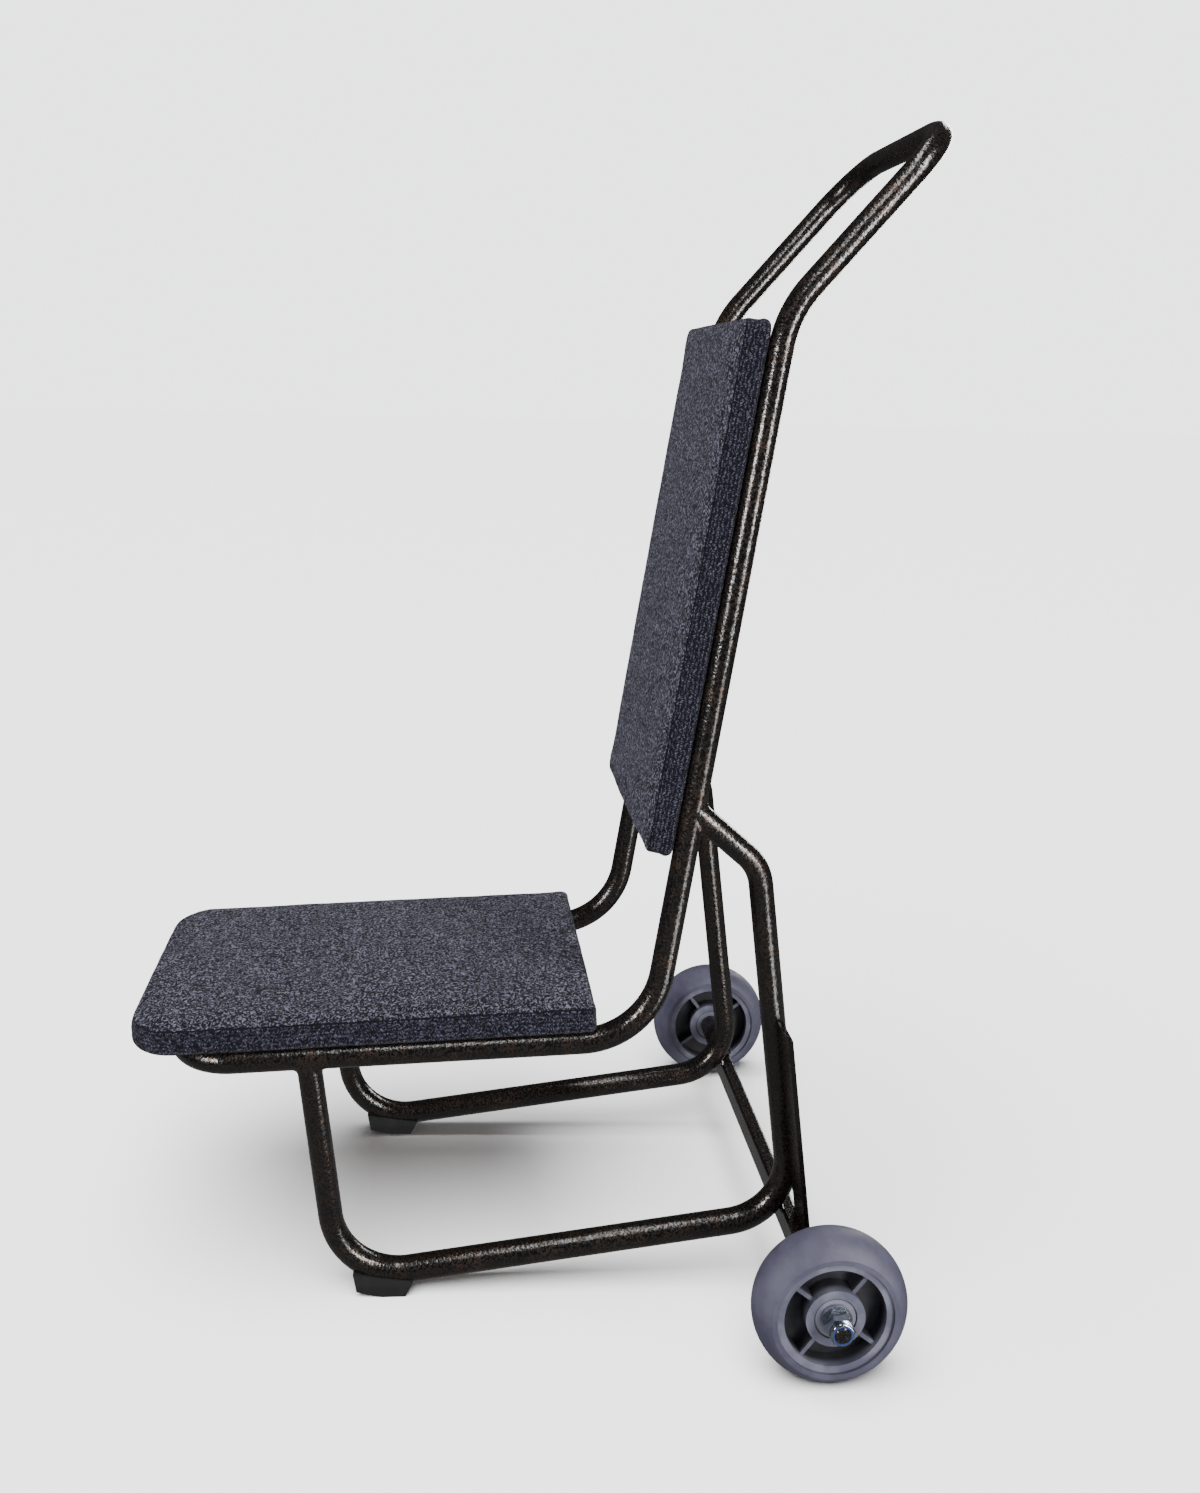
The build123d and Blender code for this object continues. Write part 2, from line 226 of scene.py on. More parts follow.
carpet = {
    "dark": (0.0014, 0.0014, 0.0038), "mid": (0.019, 0.0182, 0.032), "pale": (0.215, 0.206, 0.268),
    "fibre": (1400, 2, 0.6), "ragged": (230, 2), "worn": (60, 3),
    "worms": (170, 1.0), "wormStray": (300, 2.2 * mm), "bands": 4.4, "loops": 330, "loopEdge": (0.10, 0.62),
    "faceCurls": 0.66, "faceLoops": 0.34,
    "rowStep": 4.0 * mm, "rowStray": 1.9, "dashStep": 2.8 * mm, "dashStray": 4.2, "dashes": 0.8,
    "sideRows": 0.66, "sideCurls": 0.26, "combing": 0.92,
    "crease": 1.6 * mm, "creaseStray": 2.4 * mm, "creaseEdge": (0.2 * mm, 0.9 * mm), "creaseDepth": 0.75,
    "fibreTone": 0.35, "midEdge": (0.22, 0.58), "paleEdge": (0.46, 0.82),
    "paleShare": 0.34, "wornShare": 0.2, "paintedSideShade": 0.48,
    "roughness": 0.95, "specular": 0.12, "sheen": 0.04, "sheenRough": 0.5,
    "fibreBump": 0.25, "depth": 2.2 * mm,
}


def carpetLoops():
    # curled loops on the faces, drawn into darker ragged rows along the sides, with a crease along the edge;
    # the sides also carry a painted shade that takes away part of their pale flecks
    pile = Finish(bpy.data.materials.new("carpetLoops"))
    where = pile.place()
    across = pile.attribute("across")
    fibre = pile.noise(where, *carpet["fibre"])
    ragged = pile.noise(where, *carpet["ragged"])
    worms = pile.noise(pile.stray(where, *carpet["wormStray"]), *carpet["worms"])
    curls = pile.wave(worms * carpet["bands"])
    loops = 1 - pile.smooth(pile.cells(where, carpet["loops"]), *carpet["loopEdge"])
    faceHeight = curls * carpet["faceCurls"] + loops * carpet["faceLoops"]
    rows = pile.wave(across / carpet["rowStep"] + (ragged - 0.5) * carpet["rowStray"])
    dashes = pile.wave(pile.attribute("along") / carpet["dashStep"] + ragged * carpet["dashStray"])
    broken = rows * (1 - carpet["dashes"] + dashes * carpet["dashes"])
    sideHeight = broken * carpet["sideRows"] + curls * carpet["sideCurls"]
    creaseGap = pile.distance(across + (ragged - 0.5) * carpet["creaseStray"], carpet["crease"])
    crease = 1 - pile.smooth(creaseGap, *carpet["creaseEdge"])
    combed = faceHeight + (sideHeight - faceHeight) * pile.attribute("combed") * carpet["combing"]
    height = combed * (1 - crease * carpet["creaseDepth"])
    shade = height + (fibre - 0.5) * carpet["fibreTone"]
    body = pile.blend(pile.smooth(shade, *carpet["midEdge"]), carpet["dark"], carpet["mid"])
    worn = carpet["paleShare"] + pile.noise(where, *carpet["worn"]) * carpet["wornShare"]
    # painted shade: the sides lose about half of their pale flecks, so they look darker than the faces
    unshaded = 1 - pile.attribute("side") * carpet["paintedSideShade"]
    flecks = pile.smooth(shade, *carpet["paleEdge"]) * worn * unshaded
    return pile.surface({
        "Base Color": pile.blend(flecks, body, carpet["pale"]),
        "Roughness": carpet["roughness"], "Specular IOR Level": carpet["specular"],
        "Sheen Weight": carpet["sheen"], "Sheen Roughness": carpet["sheenRough"],
        "Normal": pile.bump(height + fibre * carpet["fibreBump"], carpet["depth"]),
    })


tread = {
    "tone": (0.032, 0.0305, 0.0510), "dusty": (0.050, 0.0483, 0.0735), "scuff": (0.019, 0.0180, 0.0280),
    "clouds": (24, 4, 0.6), "dustEdge": (0.38, 0.68), "streaks": (130, 5, 0.7), "scuffEdge": (0.60, 0.76),
    "scuffShare": 0.45, "grain": (1900, 2), "roughness": 0.46, "cloudRough": 0.18, "grainRough": 0.08,
    "specular": 0.45, "streakBump": 1.4, "depth": 0.12 * mm, "strength": 0.5,
}


def treadRubber():
    # matt moulded rubber, chalky in patches, with scuffs round the running face
    rubber = Finish(bpy.data.materials.new("treadRubber"))
    where = rubber.place()
    clouds = rubber.noise(where, *tread["clouds"])
    streaks = rubber.noise(where, *tread["streaks"])
    grain = rubber.noise(where, *tread["grain"])
    body = rubber.blend(rubber.smooth(clouds, *tread["dustEdge"]), tread["tone"], tread["dusty"])
    scuffs = rubber.smooth(streaks, *tread["scuffEdge"]) * tread["scuffShare"]
    return rubber.surface({
        "Base Color": rubber.blend(scuffs, body, tread["scuff"]),
        "Roughness": tread["roughness"] + clouds * tread["cloudRough"] + grain * tread["grainRough"],
        "Specular IOR Level": tread["specular"],
        "Normal": rubber.bump(grain + streaks * tread["streakBump"], tread["depth"], tread["strength"]),
    })


nylon = {
    "wheelCore": {"tone": (0.052, 0.052, 0.077), "worn": (0.096, 0.097, 0.128), "roughness": 0.44},
    "wheelBush": {"tone": (0.085, 0.085, 0.115), "worn": (0.13, 0.13, 0.165), "roughness": 0.34},
    "grimeAndShade": (0.004, 0.004, 0.006), "wheelHalf": 259 * mm, "axle": (0.0, 289.4 * mm, 75 * mm),
    "faceDepth": (10 * mm, 18.5 * mm), "bushEdge": 20.0 * mm,
    "lineWidth": (0.36 * mm, 0.9 * mm), "lineShade": 0.92,
    "clouds": (38, 3), "wornEdge": (0.40, 0.70),
    "dirt": (85, 4, 0.65), "deepDirt": 0.2, "dirtEdge": (0.55, 0.80), "deepShadeShare": 0.95, "dirtShare": 0.05,
    "grain": (2600, 2), "cloudRough": 0.12, "grainRough": 0.08, "depth": 0.05 * mm, "strength": 0.4,
}


def wheelNylon(name):
    # moulded nylon, with painted shade that darkens it down towards the web so that only the outer faces
    # stay pale, a little random grime, and a dark line round the bush
    tones = nylon[name]
    plastic = Finish(bpy.data.materials.new(name))
    where = plastic.place()
    clouds = plastic.noise(where, *nylon["clouds"])
    grain = plastic.noise(where, *nylon["grain"])
    across = plastic.distance(plastic.axis(where, "X"), 0.0)
    # painted shade: the nylon gets darker the deeper it lies towards the web in the middle of the wheel
    deep = 1 - plastic.smooth(plastic.distance(across, nylon["wheelHalf"]), *nylon["faceDepth"])
    spoke = plastic.add("ShaderNodeVectorMath", {"operation": "SUBTRACT"}, {0: where, 1: nylon["axle"]})
    flat = plastic.add("ShaderNodeVectorMath", {"operation": "MULTIPLY"}, {0: spoke, 1: (0.0, 1.0, 1.0)})
    radius = plastic.add("ShaderNodeVectorMath", {"operation": "LENGTH"}, {0: flat}, "Value")
    line = 1 - plastic.smooth(plastic.distance(radius, nylon["bushEdge"]), *nylon["lineWidth"])
    # random dirt, pushed towards the web by the painted shade mask
    soiled = plastic.noise(where, *nylon["dirt"]) + deep * nylon["deepDirt"]
    dirt = plastic.smooth(soiled, *nylon["dirtEdge"])
    body = plastic.blend(plastic.smooth(clouds, *nylon["wornEdge"]), tones["tone"], tones["worn"])
    # the painted shade blends most of the way to near black down at the web, and the dirt adds a little
    # grime
    stainedAndShaded = plastic.blend(deep * nylon["deepShadeShare"] + dirt * nylon["dirtShare"], body, nylon["grimeAndShade"])
    return plastic.surface({
        "Base Color": plastic.blend(line * nylon["lineShade"], stainedAndShaded, nylon["grimeAndShade"]),
        "Roughness": tones["roughness"] + clouds * nylon["cloudRough"] + grain * nylon["grainRough"],
        "Normal": plastic.bump(grain, nylon["depth"], nylon["strength"]),
    })


zinc = {
    "bright": (0.44, 0.47, 0.52), "dull": (0.33, 0.36, 0.41), "clouds": (240, 3), "dullEdge": (0.35, 0.70),
    "scratches": (2200, 3, 0.7), "roughness": 0.08, "scratchRough": 0.14,
    "depth": 0.03 * mm, "strength": 0.5,
}


def zincPlate():
    plate = Finish(bpy.data.materials.new("zincPlate"))
    where = plate.place()
    clouds = plate.noise(where, *zinc["clouds"])
    scratches = plate.noise(where, *zinc["scratches"])
    return plate.surface({
        "Base Color": plate.blend(plate.smooth(clouds, *zinc["dullEdge"]), zinc["bright"], zinc["dull"]),
        "Metallic": 1.0, "Roughness": zinc["roughness"] + scratches * zinc["scratchRough"],
        "Normal": plate.bump(scratches, zinc["depth"], zinc["strength"]),
    })


plain = {
    "nutNylon": {"tone": (0.010, 0.022, 0.11), "pale": (0.020, 0.040, 0.16), "roughness": 0.30},
    "footRubber": {"tone": (0.0022, 0.0021, 0.0026), "pale": (0.0060, 0.0058, 0.0068), "roughness": 0.62},
    "dust": (70, 4, 0.6), "dustEdge": (0.45, 0.75), "grain": (1500, 3), "grainRough": 0.15,
    "depth": 0.1 * mm, "strength": 0.5,
}


def plainMoulding(name):
    # the nuts' nylon rings and the rubber feet, with a little dust
    tones = plain[name]
    moulding = Finish(bpy.data.materials.new(name))
    where = moulding.place()
    dust = moulding.noise(where, *plain["dust"])
    grain = moulding.noise(where, *plain["grain"])
    dusty = moulding.smooth(dust, *plain["dustEdge"])
    return moulding.surface({
        "Base Color": moulding.blend(dusty, tones["tone"], tones["pale"]),
        "Roughness": tones["roughness"] + grain * plain["grainRough"],
        "Normal": moulding.bump(grain + dust, plain["depth"], plain["strength"]),
    })


plywood = {
    "pale": (0.32, 0.215, 0.125), "dark": (0.185, 0.112, 0.058), "stretch": (60.0, 3.5, 3.5),
    "grain": (3.0, 5, 0.6), "pores": (22.0, 3, 0.6), "poreShare": 0.2, "darkEdge": (0.42, 0.78),
    "roughness": 0.62, "poreRough": 0.2, "depth": 0.15 * mm, "strength": 0.5,
}


def plywoodBoard():
    board = Finish(bpy.data.materials.new("plywoodBoard"))
    drawn = board.add("ShaderNodeMapping", None, {"Vector": board.place(), "Scale": plywood["stretch"]})
    grain = board.noise(drawn, *plywood["grain"])
    pores = board.noise(drawn, *plywood["pores"])
    shade = board.smooth(grain + pores * plywood["poreShare"], *plywood["darkEdge"])
    return board.surface({
        "Base Color": board.blend(shade, plywood["pale"], plywood["dark"]),
        "Roughness": plywood["roughness"] + pores * plywood["poreRough"],
        "Normal": board.bump(pores, plywood["depth"], plywood["strength"]),
    })


finishes = {
    "frame_paint": hammertonePaint(),
    "carpet": carpetLoops(),
    "plywood": plywoodBoard(),
    "tread": treadRubber(),
    "wheel_core": wheelNylon("wheelCore"),
    "bush": wheelNylon("wheelBush"),
    "zinc": zincPlate(),
    "nylon": plainMoulding("nutNylon"),
    "foot_rubber": plainMoulding("footRubber"),
}
slots = {row["node"]: row["material_slot"] for row in frame["record"]["subparts"]}
for name, piece in frame["nodes"].items():
    piece.data.materials.clear()
    piece.data.materials.append(finishes[slots[name]])
    for face in piece.data.polygons:
        face.material_index = 0
print("finishes set on", len(slots), "nodes")


sharpFrom = 45  # degrees between faces


def newPiece(name, build, slotName, body="frame"):
    mesh = bpy.data.meshes.new(name)
    build.to_mesh(mesh)
    build.free()
    mesh.materials.append(finishes[slotName])
    for face in mesh.polygons:
        face.use_smooth = True
    mesh.set_sharp_from_angle(angle=math.radians(sharpFrom))
    piece = bpy.data.objects.new(name, mesh)
    bpy.context.scene.collection.objects.link(piece)
    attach(piece, body)
    return piece


pads = {
    "seat": {"width": 292 * mm, "start": -532 * mm, "end": -53 * mm,
             "startCorner": 50 * mm, "endCorner": 10 * mm,
             "facing": 90 + profile["railSlope"], "combed": 0.65},
    "back": {"width": 280 * mm, "start": 191 * mm, "end": 737 * mm,
             "startCorner": 14 * mm, "endCorner": 14 * mm,
             "facing": 180 - profile["uprightLean"], "combed": 1.0},
}
# "ripples" holds the scale and the share of each noise that makes the carpet's skin uneven, and
# "sideLean" how far a normal leans off the face where the side begins, and over what range
padForm = {
    "under": 12.7 * mm, "thick": 26.2 * mm, "crown": 2.0 * mm, "crownPower": 4, "edge": 4.5 * mm,
    "tuck": 5.5 * mm, "lip": 4.5 * mm, "wall": 4.7 * mm, "cavity": 9.3 * mm, "cavityRings": (1.0, 0.5, 0.08),
    "tubeClear": 0.3 * mm, "rowStep": 4.4 * mm, "rowDepth": 0.12 * mm,
    "wobble": 0.45 * mm, "ripples": ((42, 0.6), (110, 0.4)), "sideLean": (0.80, 0.45),
}
skins = {
    "coarse": {"step": 11 * mm, "corner": 4, "tuck": 2, "side": 2, "edge": 2},
    "fine": {"step": 4.5 * mm, "corner": 10, "tuck": 4, "side": 14, "edge": 6},
}
puff = {"pressure": 4.0, "frames": 20, "reach": 2.2 * mm, "neighbours": 4, "soften": 0.5 * mm}


def padPlane(pad):
    # x across, y along, z out of the pad's face
    out = heading(pad["facing"])
    across = Vector((1, 0, 0))
    turn = Matrix((across, out.cross(across), out)).transposed().to_4x4()
    return Matrix.Translation(hip) @ turn


def roundedOutline(pad, skin):
    # points round the pad from the middle of its first corner, with outward normals, and how many
    # steps its sides take
    half = pad["width"] / 2
    corners = [(-half, "start", 180), (half, "start", 270), (half, "end", 0), (-half, "end", 90)]
    counts = [round(pad["width"] / skin["step"]), round((pad["end"] - pad["start"]) / skin["step"])] * 2
    outline = []
    for (x, end, angle), straight in zip(corners, counts):
        radius = pad[end + "Corner"]
        centre = Vector((x - math.copysign(radius, x), pad[end] + (radius if end == "start" else -radius)))
        turned = []
        for turn in range(skin["corner"] + 1):
            a = math.radians(angle + 90 * turn / skin["corner"])
            normal = Vector((math.cos(a), math.sin(a)))
            turned.append((centre + normal * radius, normal))
        outline.append((turned, straight))
    points = []
    for (turned, straight), (following, _) in zip(outline, outline[1:] + outline[:1]):
        points += turned
        here, normal = turned[-1]
        points += [(here.lerp(following[0][0], i / straight), normal) for i in range(1, straight)]
    shift = skin["corner"] // 2
    sizes = [straight + skin["corner"] for straight in counts[:2]]
    return points[shift:] + points[:shift], sizes


def coons(rim, sizes):
    # the inner points of a grid whose edges run along the rim
    wide, deep = sizes
    south, east = rim[:wide + 1], rim[wide:wide + deep + 1]
    north = rim[wide + deep:2 * wide + deep + 1][::-1]
    west = (rim[2 * wide + deep:] + rim[:1])[::-1]
    rows = []
    for j in range(1, deep):
        t = j / deep
        row = []
        for i in range(1, wide):
            s = i / wide
            edges = south[i] * (1 - t) + north[i] * t + west[j] * (1 - s) + east[j] * s
            low = south[0] * (1 - s) + south[-1] * s
            high = north[0] * (1 - s) + north[-1] * s
            row.append(edges - (low * (1 - t) + high * t))
        rows.append(row)
    return rows


def skinRings(skin):
    # (inset, height) of each ring: down the board's hollow, round under, up the side, over the edge
    edge, tuck, thick = padForm["edge"], padForm["tuck"], padForm["thick"]
    rings = [(padForm["wall"], padForm["cavity"] * share) for share in padForm["cavityRings"]]
    lip = math.asin(1 - padForm["lip"] / tuck)
    for step in range(skin["tuck"] + 1):
        a = lip + (math.pi / 2 - lip) * step / skin["tuck"]
        rings.append((tuck * (1 - math.sin(a)), tuck * (1 - math.cos(a))))
    glued = len(rings)
    for step in range(1, skin["side"]):
        rings.append((0.0, tuck + (thick - edge - tuck) * step / skin["side"]))
    for step in range(skin["edge"] + 1):
        a = math.radians(90 * step / skin["edge"])
        rings.append((edge * (1 - math.cos(a)), thick - edge * (1 - math.sin(a))))
    return rings, glued


def skinMesh(pad, skin):
    # the pad's closed skin in its own plane, and the points that are glued to the board
    outline, sizes = roundedOutline(pad, skin)
    rings, glued = skinRings(skin)
    half = pad["width"] / 2
    build = bmesh.new()

    def addPoint(spot, height):
        share = (height / padForm["thick"]) ** padForm["crownPower"]
        rise = padForm["crown"] * (1 - (spot.x / half) ** 2) * share
        return build.verts.new((spot.x, spot.y, padForm["under"] + height + rise))

    def addLid(loop, rim, height, flip):
        inner = [[addPoint(spot, height) for spot in row] for row in coons(rim, sizes)]
        wide, deep = sizes
        grid = [loop[:wide + 1]]
        for j, row in enumerate(inner, 1):
            grid.append([loop[-j], *row, loop[wide + j]])
        grid.append(loop[wide + deep:2 * wide + deep + 1][::-1])
        for first, second in zip(grid, grid[1:]):
            for i in range(wide):
                face = (first[i], first[i + 1], second[i + 1], second[i])
                build.faces.new(face[::-1] if flip else face)
        return [vert for row in grid for vert in row]

    loops, rims = [], []
    for inset, height in rings:
        rim = [place - normal * inset for place, normal in outline]
        rims.append(rim)
        loops.append([addPoint(spot, height) for spot in rim])
    for first, second in zip(loops, loops[1:]):
        for i in range(len(first)):
            build.faces.new((first[i - 1], first[i], second[i], second[i - 1]))
    addLid(loops[-1], rims[-1], rings[-1][1], False)
    ceiling = addLid(loops[0], rims[0], rings[0][1], True)
    build.verts.index_update()
    held = {vert.index for loop in loops[:glued] for vert in loop} | {vert.index for vert in ceiling}
    return build, sorted(held)


def swollen(pad):
    # blow up a coarse copy of the skin, and give each of its points with the way it went
    build, held = skinMesh(pad, skins["coarse"])
    mesh = bpy.data.meshes.new("puffed")
    build.to_mesh(mesh)
    build.free()
    piece = bpy.data.objects.new("puffed", mesh)
    scene = bpy.context.scene
    scene.collection.objects.link(piece)
    piece.vertex_groups.new(name="glued").add(held, 1.0, "REPLACE")
    cloth = piece.modifiers.new("cloth", "CLOTH")
    cloth.settings.use_pressure = True
    cloth.settings.uniform_pressure_force = puff["pressure"]
    cloth.settings.vertex_group_mass = "glued"
    cloth.settings.effector_weights.gravity = 0
    cloth.point_cache.frame_start = 1
    cloth.point_cache.frame_end = puff["frames"]
    for number in range(1, puff["frames"] + 1):
        scene.frame_set(number)
    after = piece.evaluated_get(bpy.context.evaluated_depsgraph_get()).to_mesh()
    moves = []
    for start, end in zip(mesh.vertices, after.vertices):
        move = end.co - start.co
        if move.length > puff["reach"]:
            move = move.normalized() * puff["reach"]
        moves.append((start.co.copy(), move))
    scene.frame_set(1)
    bpy.data.objects.remove(piece)
    bpy.data.meshes.remove(mesh)
    return moves


def followPuff(build, moves):
    # carry the coarse copy's swelling over to the fine skin
    tree = KDTree(len(moves))
    for i, (start, _) in enumerate(moves):
        tree.insert(start, i)
    tree.balance()
    for vert in build.verts:
        near = tree.find_n(vert.co, puff["neighbours"])
        shares = [1 / (distance + puff["soften"]) ** 2 for _, _, distance in near]
        shift = sum((moves[i][1] * share for (_, i, _), share in zip(near, shares)), Vector())
        vert.co += shift / sum(shares)


def liftOffTube(point, side):
    # press the pad's underside up where the hip bend of a seat rail rises into it
    turn = math.radians(90 + profile["uprightLean"] - profile["railSlope"])
    bendStart = hip + railDir * (profile["hipRadius"] * math.tan(turn / 2))
    centre = bendStart + heading(90 + profile["railSlope"]) * profile["hipRadius"]
    flat = Vector((0, point.y, point.z))
    run = (flat - bendStart).dot(railDir)
    if run > 0:
        nearest = bendStart + railDir * run
    else:
        nearest = centre + (flat - centre).normalized() * profile["hipRadius"]
    nearest.x = side * profile["frameHalf"]
    gap = point - nearest
    reach = profile["tubeRadius"] + padForm["tubeClear"]
    return nearest + gap.normalized() * reach if gap.length < reach else point


def addRows(piece, plane, pad):
    # comb the side into rows, and tell the carpet's shader where they run
    mesh = piece.data
    keys = ("side", "combed", "across", "along")
    marks = {key: mesh.attributes.new(key, "FLOAT", "POINT") for key in keys}
    top = padForm["under"] + padForm["thick"]
    leanStart, leanRange = padForm["sideLean"]
    normals = [vert.normal.copy() for vert in mesh.vertices]
    for vert, normal in zip(mesh.vertices, normals):
        lean = min(max((leanStart - normal.z) / leanRange, 0.0), 1.0)
        across = top - vert.co.z
        along = vert.co.y if abs(normal.x) > abs(normal.y) else vert.co.x
        for key, value in zip(keys, (lean, lean * pad["combed"], across, along)):
            marks[key].data[vert.index].value = value
        row = 0.5 - 0.5 * math.cos(2 * math.pi * across / padForm["rowStep"])
        ripple = sum(noise.noise(vert.co * scale) * share for scale, share in padForm["ripples"])
        if vert.co.z >= padForm["under"] + padForm["tuck"]:
            vert.co += normal * (ripple * padForm["wobble"] - (1 - row) * lean * padForm["rowDepth"])
    mesh.transform(plane)
    if pad is pads["seat"]:
        for vert in mesh.vertices:
            vert.co = liftOffTube(vert.co, 1 if vert.co.x > 0 else -1)


def makePad(name, pad):
    build, _ = skinMesh(pad, skins["fine"])
    followPuff(build, swollen(pad))
    piece = newPiece(name + "CarpetPad", build, "carpet")
    addRows(piece, padPlane(pad), pad)
    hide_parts(name + "_pad")


for name, pad in pads.items():
    makePad(name, pad)
print("pads made")


# the runs and the straps are given in millimetres along the leg or the pad
welds = {
    "tubeBead": 3.0 * mm, "smallBead": 2.0 * mm, "ripple": 0.14, "pitch": 3.2 * mm, "sides": 8,
    "endFloor": 0.04, "endPower": 6, "runSteps": 14, "beamSteps": 10,
    "turns": 72, "steps": 6, "throat": 6.5 * mm, "uneven": 0.25, "unevenTurns": 9, "unevenScale": 7,
    "root": 1.0 * mm, "beamFront": 284.4 * mm, "beamBack": 292.5 * mm, "beamZ": (62.5 * mm, 87.5 * mm),
    "beamEnd": 190 * mm, "bendTouch": (277.1 * mm, 86.3 * mm), "bendHalf": 12 * mm,
    "plateEdge": 147.6 * mm, "plateBack": 4 * mm, "plateRuns": ((30, 55), (105, 130), (185, 215)),
    "strapHalf": 125.7 * mm, "strapDepth": 8.5 * mm, "strapRun": (-13, 13),
    "seatStraps": (-130, -390), "backStraps": (270, 660),
}


def addBead(build, points, radius):
    # a rippled weld run, rounded off at both ends
    last = len(points) - 1
    rings = []
    travelled = 0.0
    first = (points[1] - points[0]).orthogonal().normalized()
    for i, point in enumerate(points):
        along = (points[min(i + 1, last)] - points[max(i - 1, 0)]).normalized()
        travelled += (point - points[max(i - 1, 0)]).length
        swing = 1 + welds["ripple"] * math.cos(2 * math.pi * travelled / welds["pitch"])
        ends = math.sqrt(max(welds["endFloor"], 1 - abs(2 * i / last - 1) ** welds["endPower"]))
        first = (first - along * first.dot(along)).normalized()
        second = along.cross(first)
        ring = []
        for turn in range(welds["sides"]):
            a = 2 * math.pi * turn / welds["sides"]
            out = first * math.cos(a) + second * math.sin(a)
            ring.append(build.verts.new(point + out * radius * swing * ends))
        rings.append(ring)
    build.faces.new(rings[0])
    build.faces.new(reversed(rings[-1]))
    for near, far in zip(rings, rings[1:]):
        for i in range(welds["sides"]):
            build.faces.new((near[i - 1], far[i - 1], far[i], near[i]))


def addFillet(build, branch, branchDir, main, mainDir, x):
    # the smooth hollow weld where a tube's coped end meets another tube of the same size
    radius = profile["tubeRadius"]
    across = Vector((1, 0, 0))
    sideways = branchDir.cross(across)
    flatDir = branchDir - mainDir * branchDir.dot(mainDir)
    rings = []
    for turn in range(welds["turns"]):
        a = 2 * math.pi * turn / welds["turns"]
        out = across * math.cos(a) + sideways * math.sin(a)
        start = branch + out * radius - main
        flatStart = start - mainDir * start.dot(mainDir)
        half = flatStart.dot(flatDir)
        spare = max(0.0, half * half - flatDir.length_squared * (flatStart.length_squared - radius * radius))
        corner = start + branchDir * ((-half - math.sqrt(spare)) / flatDir.length_squared)
        spot = Vector((x, 0, welds["unevenTurns"] * turn / welds["turns"])) * welds["unevenScale"]
        throat = welds["throat"] * (1 + welds["uneven"] * noise.noise(spot))
        onBranch = corner - branchDir * throat
        aside = corner + out * throat
        foot = mainDir * aside.dot(mainDir)
        onMain = foot + (aside - foot).normalized() * radius
        ring = []
        for step in range(welds["steps"] + 1):
            t = step / welds["steps"]
            hollow = onBranch * (1 - t) ** 2 + corner * (2 * t * (1 - t)) + onMain * t ** 2
            ring.append(hollow + main + Vector((x, 0, 0)))
        ring.append(corner + main + Vector((x, 0, 0)) + branchDir * welds["root"])
        rings.append([build.verts.new(point) for point in ring])
    for first, second in zip(rings, rings[1:] + rings[:1]):
        for i in range(len(first)):
            build.faces.new((first[i - 1], first[i], second[i], second[i - 1]))


def run(start, end, count=welds["runSteps"]):
    return [start.lerp(end, i / (count - 1)) for i in range(count)]


def addWelds():
    build = bmesh.new()
    for side in (1, -1):
        x = side * profile["frameHalf"]
        addFillet(build, legFoot, frontLegDir, hip, railDir, x)
        addFillet(build, stubFoot, stubDir, hip, upDir, x)
        touch = sidePoint(welds["bendTouch"]) + Vector((x, 0, 0))
        half = Vector((welds["bendHalf"], 0, 0))
        addBead(build, run(touch - half, touch + half), welds["tubeBead"])
        back = rearLegDir.cross(Vector((1, 0, 0))) * welds["plateBack"]
        plate = baseRear + back + Vector((side * welds["plateEdge"], 0, 0))
        for low, high in welds["plateRuns"]:
            seam = run(plate + rearLegDir * low * mm, plate + rearLegDir * high * mm)
            addBead(build, seam, welds["tubeBead"])
        end = side * welds["beamEnd"]
        front, rear = welds["beamFront"], welds["beamBack"]
        low, high = welds["beamZ"]
        corners = [(front, high), (rear, high), (rear, low), (front, low)]
        path = []
        for here, there in zip(corners, corners[1:]):
            path += run(Vector((end, *here)), Vector((end, *there)), welds["beamSteps"])[:-1]
        addBead(build, path, welds["smallBead"])
        for name in pads:
            plane = padPlane(pads[name])
            for row in welds[name + "Straps"]:
                spots = [(side * welds["strapHalf"], (row + shift) * mm, welds["strapDepth"])
                         for shift in welds["strapRun"]]
                addBead(build, run(*[plane @ Vector(spot) for spot in spots]), welds["smallBead"])
    bmesh.ops.recalc_face_normals(build, faces=build.faces)
    newPiece("weldBeads", build, "frame_paint")


addWelds()
print("welds made")


photoView = {"place": (1.28568, -0.10033, 0.93870), "yaw": 86.41, "pitch": -6.92, "roll": 1.49,
             "imageSize": (1200, 1493), "focalPixels": 1200, "principal": (508.9, 528.5), "sensor": 36.0}


def addCamera():
    view = bpy.data.cameras.new("photoView")
    width, height = photoView["imageSize"]
    view.sensor_width = photoView["sensor"]
    view.lens = photoView["sensor"] * photoView["focalPixels"] / height
    view.shift_x = (width / 2 - photoView["principal"][0]) / height
    view.shift_y = (photoView["principal"][1] - height / 2) / height
    camera = bpy.data.objects.new("photoView", view)
    bpy.context.scene.collection.objects.link(camera)
    turn = Matrix.Rotation(math.radians(photoView["yaw"]), 4, "Z")
    turn @= Matrix.Rotation(math.radians(90 + photoView["pitch"]), 4, "X")
    turn @= Matrix.Rotation(math.radians(photoView["roll"]), 4, "Z")
    camera.matrix_world = Matrix.Translation(photoView["place"]) @ turn
    bpy.context.scene.camera = camera


